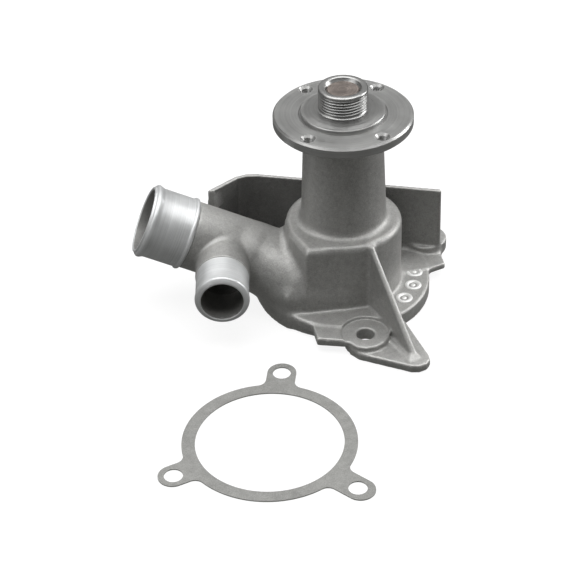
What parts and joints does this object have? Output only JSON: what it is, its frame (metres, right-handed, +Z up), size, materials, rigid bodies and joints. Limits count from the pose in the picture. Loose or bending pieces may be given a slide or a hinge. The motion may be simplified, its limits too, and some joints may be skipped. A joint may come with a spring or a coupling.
{
  "type": "coolant pump",
  "caption": "Belt-driven engine coolant pump: cast body with two hose necks, shaft bearing, face seal, impeller, pulley flange with threaded nose, and a loose gasket.",
  "frame": {"origin": "centre of the block opening in the gasket face, on the shaft axis", "axes": "+Z up the shaft from the gasket face to the pulley flange; -X towards the large hose neck; -Y towards the small hose neck"},
  "size_m": [0.1614, 0.2036, 0.1186],
  "materials": {
    "cast_aluminium": "blasted casting, matte",
    "turned_steel": "turned, satin",
    "ground_steel": "ground, lightly oiled",
    "bearing_steel": "polished",
    "cage_polymer": "moulded",
    "seal_rubber": "matte",
    "seal_steel": "pressed, bright",
    "carbon": "lapped",
    "seat_ceramic": "lapped",
    "cast_iron": "as cast",
    "gasket_fibre": "compressed fibre, speckled"
  },
  "bodies": {
    "body": {"housing": "cast_aluminium", "bearing_sleeve": "bearing_steel", "bearing_shield_top": "seal_rubber", "bearing_shield_bottom": "seal_rubber", "seal_case": "seal_steel", "seal_spring": "seal_steel", "seal_bellows": "seal_rubber"},
    "rotor": {"shaft": "ground_steel", "hub_flange": "turned_steel", "slinger_ring": "seal_rubber", "mating_ring": "seat_ceramic", "mating_ring_cup": "seal_rubber", "impeller": "cast_iron"},
    "ball_row": {"bearing_balls": "bearing_steel", "ball_cage": "cage_polymer"},
    "roller_row": {"bearing_rollers": "bearing_steel", "roller_cage": "cage_polymer"},
    "seal_head": {"carbon_face": "carbon", "spring_retainer": "seal_steel"},
    "loose_gasket": {"gasket": "gasket_fibre"}
  },
  "joints": [
    {"name": "shaft_spin", "type": "hinge", "parent": "body", "child": "rotor", "pos_m": [0, 0, 0.06], "axis": [0, 0, 1], "continuous": true},
    {"name": "ball_row_spin", "type": "hinge", "parent": "body", "child": "ball_row", "pos_m": [0, 0, 0.081], "axis": [0, 0, 1], "continuous": true},
    {"name": "roller_row_spin", "type": "hinge", "parent": "body", "child": "roller_row", "pos_m": [0, 0, 0.057], "axis": [0, 0, 1], "continuous": true},
    {"name": "seal_face_lift", "type": "slide", "parent": "body", "child": "seal_head", "axis": [0, 0, 1], "range_m": [0, 0.0008], "stiffness_N_per_m": 4000, "springref_m": -0.003, "deforming": ["seal_spring", "seal_bellows"]},
    {"name": "gasket_lift", "type": "slide", "parent": "body", "child": "loose_gasket", "axis": [0, 0, 1], "range_m": [0, 0.03]}
  ],
  "couplings": [
    {"joint": "ball_row_spin", "follows": "shaft_spin", "ratio": 0.3767},
    {"joint": "roller_row_spin", "follows": "shaft_spin", "ratio": 0.4116}
  ]
}
